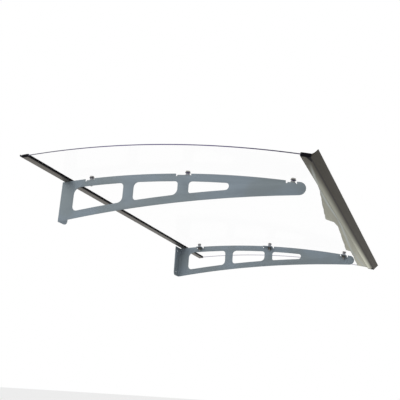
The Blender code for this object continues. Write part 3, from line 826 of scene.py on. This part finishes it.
def circle_centre(points):
    """Centre of the circle that fits a list of points best."""
    table = np.array([(point.x, point.y, 1.0) for point in points])
    squares = (table[:, :2] ** 2).sum(axis=1)
    fit = np.linalg.lstsq(table, squares, rcond=None)[0]
    return Vector((fit[0] / 2, fit[1] / 2))


class Arc:
    """The sheet's arc in section, fitted to its node's end face."""

    def __init__(self, points):
        # A fit to both faces only parts their points; the upper face's own give the centre
        rough = circle_centre(points)
        lengths = [(point - rough).length for point in points]
        halfway = (min(lengths) + max(lengths)) / 2
        over = [point for point, length in zip(points, lengths) if length > halfway]
        self.centre = circle_centre(over)
        spokes = [point - self.centre for point in points]
        self.outer = np.mean([(point - self.centre).length for point in over])
        self.inner = np.mean([spoke.length for spoke, length in zip(spokes, lengths)
                              if length <= halfway])
        self.middle = (self.inner + self.outer) / 2
        angles = [math.atan2(spoke.x, spoke.y) for spoke in spokes]
        self.front = min(angles)
        self.rear = max(angles)

    def angle(self, place):
        """Angle of a place from the arc's crest."""
        return math.atan2(place.y - self.centre[0], place.z - self.centre[1])

    def point(self, angle, radius):
        """Point (y, z) on the arc at an angle from its crest."""
        return (
            self.centre[0] + radius * math.sin(angle),
            self.centre[1] + radius * math.cos(angle),
        )

    def frame_at(self, x, y, z):
        """Frame on the sheet's middle, under or over a point, with Z along the normal."""
        angle = self.angle(Vector((x, y, z)))
        spot = self.point(angle, self.middle)
        return Matrix.Translation((x, *spot)) @ Matrix.Rotation(-angle, 4, "X")


def pierced(sides, levels, centres, radius, steps):
    """Triangles of a flat strip cut across at levels, with round holes left out."""
    points = [(x, level) for level in levels for x in sides]
    rows = range(len(levels))
    edges = [(2 * row, 2 * row + 1) for row in rows]
    faces = [[2 * row + 1 for row in rows] + [2 * row for row in reversed(rows)]]
    for x, level in centres:
        faces.append(list(range(len(points), len(points) + steps)))
        turns = [math.tau * step / steps for step in range(steps)]
        points += [(x + radius * math.cos(a), level + radius * math.sin(a)) for a in turns]
    points, _, pieces, _, _, sources = delaunay_2d_cdt(
        [Vector(point) for point in points], edges, faces, 1, CUT_TOLERANCE
    )
    return points, [piece for piece, source in zip(pieces, sources) if source == [0]]


def fixing_frames():
    """Frame of each fixing by side and number.

    The spacer gives the place: it is the same from both ends, so its box is centred on the
    screw's axis, which the box of a tilted screw isn't.
    """
    arc = Arc(end_outline("clear_sheet"))
    frames = {}
    for side in SIDES:
        for number in FIXINGS:
            low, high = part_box(f"rubber_spacer_{side}_{number}")
            frames[side, number] = arc.frame_at(*((low + high) / 2))
    return frames


def turned(profile, steps, closed=False):
    """Mesh turned round Z from (radius, height) points."""
    bm = bmesh.new()
    verts = [bm.verts.new((radius, 0.0, height)) for radius, height in profile]
    pairs = list(zip(verts, verts[1:]))
    if closed:
        pairs.append((verts[-1], verts[0]))
    edges = [bm.edges.new(pair) for pair in pairs]
    bmesh.ops.spin(
        bm, geom=verts + edges, cent=(0, 0, 0), axis=(0, 0, 1), angle=math.tau, steps=steps
    )
    bmesh.ops.remove_doubles(bm, verts=bm.verts, dist=WELD / 2)
    bmesh.ops.recalc_face_normals(bm, faces=bm.faces)
    return mesh_of(bm)


def own_points(kind):
    """Points of the first fixing's piece as (radius, height) in the fixing's own frame."""
    inverse = fixing_frames()["left", 1].inverted()
    points = [inverse @ vert.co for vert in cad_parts[kind + "_left_1"].data.vertices]
    return [(math.hypot(point.x, point.y), point.z) for point in points]


def ring_sizes(kind):
    """Bore, outer radius, lowest and highest height of a washer or spacer."""
    radii, heights = zip(*own_points(kind))
    return min(radii), max(radii), min(heights), max(heights)


def hexagonal(mesh, flat):
    """Draw a turned piece's widest part in to a hexagon with a corner along Y."""
    for vert in mesh.vertices:
        radius = math.hypot(vert.co.x, vert.co.y)
        turn = (math.atan2(vert.co.y, vert.co.x) - math.pi / 2) % (math.pi / 3) - math.pi / 6
        limit = flat / math.cos(turn)
        if radius > limit:
            vert.co.x *= limit / radius
            vert.co.y *= limit / radius
    return mesh


def chamfered(inner, outer, height):
    """Rows of a cone from an inner radius out and down to an outer one."""
    drop = CHAMFER_SLOPE * (outer - inner)
    shares = [step / CHAMFER_ROWS for step in range(CHAMFER_ROWS + 1)]
    return [(inner + (outer - inner) * share, height - drop * share) for share in shares]


def screw_mesh():
    """Hexagon screw: chamfered head with a washer face, and a helical thread below."""
    own = settings("canopy_fixings")
    points = own_points("sheet_screw")
    corner = max(radius for radius, _ in points)
    top = max(height for _, height in points)
    end = min(height for _, height in points)
    shank = max(radius for radius, height in points if height < (top + end) / 2)
    under = min(height for radius, height in points if radius > (corner + shank) / 2)
    flat = corner * math.cos(math.pi / 6)
    crown = 0.90 * flat
    face = 0.04 * (top - under)
    thread_top = under - 0.7 * shank
    rows = round(THREAD_ROWS * (thread_top - end) / own.thread_pitch)
    profile = [(0.0, top)]
    profile += chamfered(crown, corner, top)
    profile += [
        (corner, under + 2.5 * face),
        (0.97 * flat, under + face),
        (0.95 * flat, under),
        (shank, under),
    ]
    profile += [(shank, thread_top + (end - thread_top) * row / rows) for row in range(rows + 1)]
    profile.append((0.0, end))
    mesh = hexagonal(turned(profile, own.round_steps), flat)
    for vert in mesh.vertices:
        radius = math.hypot(vert.co.x, vert.co.y)
        if vert.co.z > thread_top or radius < shank / 2:
            continue
        turn = vert.co.z / own.thread_pitch + math.atan2(vert.co.y, vert.co.x) / math.tau
        cut = 2 * abs(turn % 1.0 - 0.5) * min(1.0, (thread_top - vert.co.z) / own.thread_pitch)
        taper = max(0.0, 1.0 - (vert.co.z - end) / own.thread_pitch)
        target = min(shank - own.thread_depth * cut, shank - own.thread_depth * taper)
        vert.co.x *= target / radius
        vert.co.y *= target / radius
    mesh.materials.append(steel_material("head_steel", "steel_colour"))
    return smooth(mesh, METAL_SHADE)


def sealing_washer_mesh():
    """Dished steel washer with a thinner rubber layer bonded under it."""
    own = settings("canopy_fixings")
    bore, outer, low, high = ring_sizes("sealing_washer")
    split = low + 0.4 * (high - low)
    ease = 0.2 * (high - low)
    profile = [
        (bore, high),
        (outer - 4 * ease, high),
        (outer - ease, high - ease),
        (outer, high - 2 * ease),
        (outer, split),
        (outer - ease, split),
        (outer - ease, low + ease),
        (outer - 2 * ease, low),
        (bore, low),
    ]
    mesh = turned(profile, own.round_steps, closed=True)
    mesh.materials.append(steel_material("head_steel", "steel_colour"))
    mesh.materials.append(insert_material())
    for face in mesh.polygons:
        face.material_index = int(face.center.z < split - WELD)
    return smooth(mesh, RUBBER_SHADE)


def spacer_mesh():
    """Barrel spacer: rounded rims and a slight waist between sheet and tab."""
    own = settings("canopy_fixings")
    bore, outer, low, high = ring_sizes("rubber_spacer")
    rim = 0.12
    ease = rim * (high - low)
    profile = [(bore, high)]
    for step in range(SPACER_LEVELS + 1):
        share = step / SPACER_LEVELS
        bulge = abs(2 * share - 1) ** 2
        height = high + (low - high) * (rim + (1 - 2 * rim) * share)
        profile.append((outer - ease + ease * bulge, height))
    profile.insert(1, (outer - ease, high))
    profile += [(outer - ease, low), (bore, low)]
    mesh = turned(profile, own.round_steps, closed=True)
    mesh.materials.append(spacer_material())
    return smooth(mesh, RUBBER_SHADE)


def flat_washer_mesh():
    """Punched flat washer, rounder on the edges where the punch entered."""
    own = settings("canopy_fixings")
    bore, outer, low, high = ring_sizes("tab_washer")
    ease = 0.15 * (high - low)
    profile = [
        (bore, high),
        (outer - ease, high),
        (outer, high - ease),
        (outer, low + 2 * ease),
        (outer - ease, low + ease / 2),
        (outer - 2 * ease, low),
        (bore + ease, low),
        (bore, low + ease),
    ]
    mesh = turned(profile, own.round_steps, closed=True)
    # Painted shade: the darker copy of the screws' steel
    mesh.materials.append(steel_material("shaded_nut_steel", "shaded_nut_colour"))
    return smooth(mesh, METAL_SHADE)


def nut_mesh():
    """Lock nut: chamfered hexagon and a rolled collar that holds the locking ring."""
    own = settings("canopy_fixings")
    points = own_points("lock_nut")
    bore = min(radius for radius, _ in points)
    corner = max(radius for radius, _ in points)
    top = max(height for _, height in points)
    bottom = min(height for _, height in points)
    collar = max(radius for radius, height in points if height < bottom + 0.25 * (top - bottom))
    hex_low = min(height for radius, height in points if radius > (corner + collar) / 2)
    flat = corner * math.cos(math.pi / 6)
    crown = 0.95 * flat
    ease = 0.12 * (top - hex_low)
    low_edge = reversed(chamfered(crown, corner, -hex_low))
    profile = [(bore + ease, top)]
    profile += chamfered(crown, corner, top)
    profile += [(radius, -height) for radius, height in low_edge]
    profile += [
        (collar, hex_low),
        (collar, bottom + 1.2 * ease),
        (collar - 0.35 * ease, bottom + 0.35 * ease),
        (collar - 1.2 * ease, bottom),
        (collar - 1.6 * ease, bottom + 0.4 * ease),
        (bore, bottom + 0.5 * ease),
        (bore, top - ease),
    ]
    mesh = hexagonal(turned(profile, own.round_steps, closed=True), flat)
    # Painted shade: the darker copy of the screws' steel
    mesh.materials.append(steel_material("shaded_nut_steel", "shaded_nut_colour"))
    mesh.materials.append(insert_material())
    inner = collar - 1.5 * ease
    for face in mesh.polygons:
        reach = math.hypot(face.center.x, face.center.y)
        face.material_index = int(reach < inner and face.center.z < bottom + ease)
    return smooth(mesh, METAL_SHADE)


class CANOPY_OT_sheet(bpy.types.Operator):
    """Build the curved clear sheet with its six holes."""

    bl_idname = "canopy.sheet"
    bl_label = "Clear Sheet"

    def execute(self, context):
        own = settings("canopy_sheet")
        node = "clear_sheet"
        arc = Arc(end_outline(node))
        low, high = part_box(node)
        sweep = arc.rear - arc.front
        levels = [
            arc.middle * (arc.front + sweep * step / own.arc_steps)
            for step in range(own.arc_steps + 1)
        ]
        centres = [
            (place.translation.x, arc.middle * arc.angle(place.translation))
            for place in fixing_frames().values()
        ]
        points, faces = pierced((low.x, high.x), levels, centres, own.hole_radius, HOLE_STEPS)
        bm = bmesh.new()
        under, over = (
            [bm.verts.new((x, *arc.point(level / arc.middle, radius))) for x, level in points]
            for radius in (arc.inner, arc.outer)
        )
        borders = {(a, b) for face in faces for a, b in zip(face, face[1:] + face[:1])}
        for face in faces:
            bm.faces.new([over[index] for index in face])
            bm.faces.new([under[index] for index in reversed(face)])
        for a, b in sorted(borders):
            if (b, a) not in borders:
                bm.faces.new((under[a], under[b], over[b], over[a])).material_index = 1
        loose = [vert for vert in bm.verts if not vert.link_faces]
        bmesh.ops.delete(bm, geom=loose, context="VERTS")
        materials = (sheet_material(*gutter_places()), sheet_edge_material())
        sheet = object_of("clear_sheet_piece", smooth(mesh_of(bm)), *materials)
        finished(sheet, "clear_polycarbonate", node)
        return {"FINISHED"}


class CANOPY_OT_rails(bpy.types.Operator):
    """Build the wall rail and the gutter rail."""

    bl_idname = "canopy.rails"
    bl_label = "Rails"

    def execute(self, context):
        own = settings("canopy_rails")
        rail_piece("rear_rail", "satin_aluminium", own.edge_ease, wall_rail_material())
        gutter = gutter_rail_material(*gutter_places())
        rail_piece("front_gutter_rail", "satin_aluminium", own.edge_ease, gutter)
        return {"FINISHED"}


class CANOPY_OT_rubber(bpy.types.Operator):
    """Build the gaskets and the wall seal."""

    bl_idname = "canopy.rubber"
    bl_label = "Gaskets and Seal"

    def execute(self, context):
        own = settings("canopy_rails")
        materials = {
            "rear_glazing_gasket": rubber_material(),
            "rear_wall_seal": rubber_material(),
            "front_glazing_gasket": painted_reflection_rubber_material(),
        }
        for node, material in materials.items():
            rail_piece(node, "black_rubber", own.rubber_ease, material)
        return {"FINISHED"}


def eased_copy(node, ease, name, *materials):
    """Copy of a frame node with its flat faces joined and its edges eased."""
    bm = welded(node)
    bmesh.ops.dissolve_limit(bm, angle_limit=FLAT_ANGLE, verts=bm.verts, edges=bm.edges)
    corners = [edge for edge in bm.edges if edge.calc_face_angle() > EASED_ANGLE]
    bmesh.ops.bevel(
        bm,
        geom=corners,
        offset=ease,
        segments=BEVEL_STEPS,
        profile=0.5,
        affect="EDGES",
        clamp_overlap=True,
    )
    return object_of(name, smooth(mesh_of(bm), PLATE_SHADE), *materials)


class CANOPY_OT_caps(bpy.types.Operator):
    """Build the end caps of both rails."""

    bl_idname = "canopy.caps"
    bl_label = "End Caps"

    def execute(self, context):
        own = settings("canopy_rails")
        material = cap_material()
        for side in SIDES:
            for kind in ("rear_end_cap", "gutter_end_cap"):
                node = f"{kind}_{side}"
                piece = eased_copy(node, own.edge_ease, node + "_piece", material)
                finished(piece, "black_plastic", node)
        return {"FINISHED"}


class CANOPY_OT_brackets(bpy.types.Operator):
    """Build the two folded brackets."""

    bl_idname = "canopy.brackets"
    bl_label = "Brackets"

    def execute(self, context):
        own = settings("canopy_brackets")
        material = plate_material()
        for side in SIDES:
            node = "bracket_" + side
            piece = eased_copy(node, own.edge_ease, node + "_piece", material)
            finished(piece, "coated_plate", node)
        return {"FINISHED"}


class CANOPY_OT_fixings(bpy.types.Operator):
    """Build the screws, washers, spacers and nuts of all six fixings."""

    bl_idname = "canopy.fixings"
    bl_label = "Fixings"

    def execute(self, context):
        meshes = {
            "sheet_screw": ("fastener_steel", screw_mesh()),
            "sealing_washer": ("fastener_steel", sealing_washer_mesh()),
            "rubber_spacer": ("pale_rubber", spacer_mesh()),
            "tab_washer": ("fastener_steel", flat_washer_mesh()),
            "lock_nut": ("fastener_steel", nut_mesh()),
        }
        for (side, number), place in fixing_frames().items():
            for kind, (slot, mesh) in meshes.items():
                node = f"{kind}_{side}_{number}"
                piece = object_of(node + "_piece", mesh.copy())
                piece.data.transform(place)
                finished(piece, slot, node)
        return {"FINISHED"}


class CANOPY_OT_stage(bpy.types.Operator):
    """Set up the floor, the white surround, the soft lamp and the camera."""

    bl_idname = "canopy.stage"
    bl_label = "Stage"

    def execute(self, context):
        own = settings("canopy_stage")
        self.world(context.scene, own)
        self.floor(own)
        self.lamp(own)
        self.camera(context.scene, own)
        context.scene.view_settings.view_transform = "Standard"
        return {"FINISHED"}

    def seen(self, graph):
        """1 for rays of the camera, of mirror reflections and of clear pieces, else 0."""
        rays = graph.add("ShaderNodeLightPath").socket.node.outputs
        names = ("Is Camera Ray", "Is Glossy Ray", "Is Transmission Ray")
        camera, glossy, clear = (Wire(graph, rays[name]) for name in names)
        return camera.math("MAXIMUM", camera.math("MAXIMUM", camera, glossy), clear)

    def world(self, scene, own):
        """Even pale light from all round, white where it is seen."""
        world = bpy.data.worlds.new("studio")
        world.use_nodes = True
        graph = Graph(world.node_tree)
        strength = self.seen(graph) * (1.0 - own.sky_strength) + own.sky_strength
        sky = graph.add("ShaderNodeBackground", {}, {"Strength": strength, "Color": (1, 1, 1, 1)})
        graph.add("ShaderNodeOutputWorld", {}, {"Surface": sky})
        scene.world = world

    def floor(self, own):
        """Round pale ground."""
        bm = bmesh.new()
        bmesh.ops.create_circle(bm, cap_ends=True, segments=FLOOR_STEPS, radius=own.floor_radius)
        material, graph = new_material("pale_floor")
        where, _ = graph.place()
        tone = graph.noise(where, 1.5, 4.0).scale(0.86, 0.90)
        matt = graph.add("ShaderNodeBsdfPrincipled", {}, {
            "Base Color": graph.blend(tone, (0, 0, 0), (1, 1, 1)),
            "Roughness": 0.9,
        })
        glow = graph.add("ShaderNodeEmission", {}, {"Color": (1, 1, 1, 1)})
        mixed = {0: self.seen(graph) * own.floor_glow, 1: matt, 2: glow}
        graph.surface(graph.add("ShaderNodeMixShader", {}, mixed))
        floor = object_of("floor", mesh_of(bm), material)
        floor.location.z = own.floor_height

    def lamp(self, own):
        """Soft round lamp on the wall side."""
        light = bpy.data.lights.new("soft_lamp", "AREA")
        light.energy = own.lamp_power
        light.shape = "DISK"
        light.size = own.lamp_size
        lamp = bpy.data.objects.new("soft_lamp", light)
        bpy.context.scene.collection.objects.link(lamp)
        lamp.location = own.lamp_place
        towards = Vector(own.lamp_aim) - lamp.location
        lamp.rotation_euler = towards.to_track_quat("-Z", "Y").to_euler()

    def camera(self, scene, own):
        """Camera at the photograph's place and angle."""
        data = bpy.data.cameras.new("camera")
        data.lens = own.lens
        data.sensor_width = 36.0
        data.clip_start = 0.05
        camera = bpy.data.objects.new("camera", data)
        scene.collection.objects.link(camera)
        turn = (
            Matrix.Rotation(-own.heading, 4, "Z")
            @ Matrix.Rotation(math.pi / 2 + own.climb, 4, "X")
            @ Matrix.Rotation(own.roll, 4, "Z")
        )
        camera.matrix_world = Matrix.Translation(own.camera_place) @ turn
        scene.camera = camera


class CANOPY_PT_panel(bpy.types.Panel):
    """Sidebar panel that lists the canopy's pieces and their sizes."""

    bl_idname = "CANOPY_PT_panel"
    bl_label = "Door Canopy"
    bl_space_type = "VIEW_3D"
    bl_region_type = "UI"
    bl_category = "Canopy"

    def draw(self, context):
        for operator in OPERATORS:
            self.layout.operator(operator.bl_idname)
        for name, group in GROUPS:
            box = self.layout.box()
            box.label(text=group.__doc__)
            for key in group.__annotations__:
                box.prop(getattr(context.scene, name), key)


GROUPS = (
    ("canopy_sheet", CanopySheetSettings),
    ("canopy_rails", CanopyRailSettings),
    ("canopy_brackets", CanopyBracketSettings),
    ("canopy_fixings", CanopyFixingSettings),
    ("canopy_stage", CanopyStageSettings),
)
OPERATORS = (
    CANOPY_OT_sheet,
    CANOPY_OT_rails,
    CANOPY_OT_rubber,
    CANOPY_OT_caps,
    CANOPY_OT_brackets,
    CANOPY_OT_fixings,
    CANOPY_OT_stage,
)


def register():
    """Register the classes and hang the settings on the scene."""
    for name, group in GROUPS:
        bpy.utils.register_class(group)
        setattr(bpy.types.Scene, name, PointerProperty(type=group))
    for operator in OPERATORS:
        bpy.utils.register_class(operator)
    bpy.utils.register_class(CANOPY_PT_panel)


def unregister():
    """Undo register."""
    bpy.utils.unregister_class(CANOPY_PT_panel)
    for operator in reversed(OPERATORS):
        bpy.utils.unregister_class(operator)
    for name, group in reversed(GROUPS):
        delattr(bpy.types.Scene, name)
        bpy.utils.unregister_class(group)


def main():
    """Build every piece and set up the stage."""
    register()
    bpy.ops.canopy.sheet()
    bpy.ops.canopy.rails()
    bpy.ops.canopy.rubber()
    bpy.ops.canopy.caps()
    bpy.ops.canopy.brackets()
    bpy.ops.canopy.fixings()
    bpy.ops.canopy.stage()


if __name__ == "__main__":
    main()
